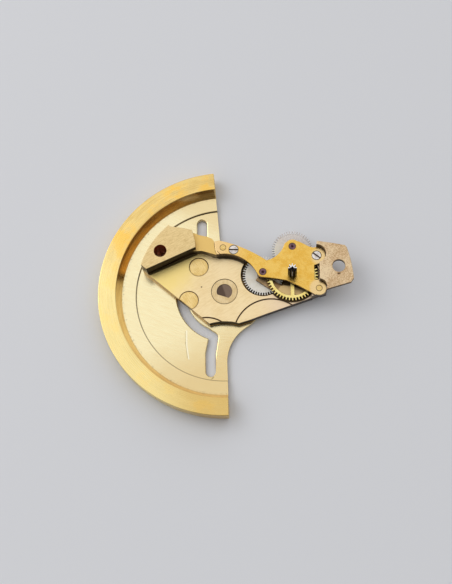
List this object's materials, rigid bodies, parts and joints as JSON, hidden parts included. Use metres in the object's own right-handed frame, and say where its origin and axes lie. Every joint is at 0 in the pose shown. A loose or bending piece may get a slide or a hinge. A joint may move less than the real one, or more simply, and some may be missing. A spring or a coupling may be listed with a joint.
{
  "type": "automatic watch rotor",
  "caption": "Automatic winding rotor with a half-round heavy rim, on a bridge that carries a train of reversing wheels and an output pinion.",
  "frame": {"origin": "on the rotor's axis, in the plane that the heavy rim rests on", "axes": "+Z along the rotor's axis, from the rotor towards the movement; +X towards the thin foot's side; +Y completes the frame"},
  "size_m": [0.0262, 0.026, 0.0046],
  "materials": {
    "rotor_plate": "pale gilt, circular brushing",
    "rotor_weight": "yellow gilt, fine turned lines",
    "gear_brass": "bright brass",
    "washer_brass": "satin gilt",
    "plate_brass": "pinkish gilt, fine frosting",
    "plug_brass": "faced flush",
    "bridge_gilt": "orange gilt",
    "steel": "dark polished steel",
    "screw_steel": "polished steel",
    "ruby": "polished synthetic ruby",
    "wheel_white": "translucent white"
  },
  "bodies": {
    "bridge": {"main_plate": "plate_brass", "plate_plugs": "plug_brass", "axle_bush": "gear_brass", "upper_bridge": "bridge_gilt", "lower_bridge": "plate_brass", "bridge_screws": "screw_steel", "lower_bridge_screws": "screw_steel", "steady_pins": "plug_brass", "near_upper_jewel": "ruby", "far_upper_jewel": "ruby", "near_lower_jewel": "ruby", "far_lower_jewel": "ruby", "output_jewel": "ruby"},
    "rotor": {"rotor_web": "rotor_plate", "rotor_weight": "rotor_weight", "rotor_gear": "gear_brass", "rotor_axle": "steel", "axle_washer": "washer_brass"},
    "near_wheel": {"near_reversing_wheel": "wheel_white", "near_clicks": "steel"},
    "near_arbor": {"near_reversing_arbor": "steel"},
    "far_wheel": {"far_reversing_wheel": "wheel_white", "far_clicks": "steel"},
    "far_arbor": {"far_reversing_arbor": "steel"},
    "output": {"output_wheel": "gear_brass", "output_pinion": "steel"}
  },
  "joints": [
    {"name": "rotor_spin", "type": "hinge", "parent": "bridge", "child": "rotor", "pos_m": [0, 0, 0.00094], "axis": [0, 0, 1], "continuous": true},
    {"name": "near_wheel_spin", "type": "hinge", "parent": "bridge", "child": "near_wheel", "pos_m": [0.00397, 0.00174, 0.00094], "axis": [0, 0, 1], "continuous": true},
    {"name": "near_arbor_spin", "type": "hinge", "parent": "bridge", "child": "near_arbor", "pos_m": [0.00397, 0.00174, 0.00094], "axis": [0, 0, 1], "continuous": true},
    {"name": "far_wheel_spin", "type": "hinge", "parent": "bridge", "child": "far_wheel", "pos_m": [0.00703, 0.00445, 0.00094], "axis": [0, 0, 1], "continuous": true},
    {"name": "far_arbor_spin", "type": "hinge", "parent": "bridge", "child": "far_arbor", "pos_m": [0.00703, 0.00445, 0.00094], "axis": [0, 0, 1], "continuous": true},
    {"name": "output_spin", "type": "hinge", "parent": "bridge", "child": "output", "pos_m": [0.00697, 0.00143, 0.00172], "axis": [0, 0, 1], "continuous": true}
  ],
  "couplings": [
    {"joint": "near_wheel_spin", "follows": "rotor_spin", "ratio": -1.125},
    {"joint": "near_arbor_spin", "follows": "rotor_spin", "ratio": -1.125},
    {"joint": "far_wheel_spin", "follows": "rotor_spin", "ratio": 1.125},
    {"joint": "far_arbor_spin", "follows": "rotor_spin", "ratio": -1.125},
    {"joint": "output_spin", "follows": "rotor_spin", "ratio": 0.21094}
  ]
}
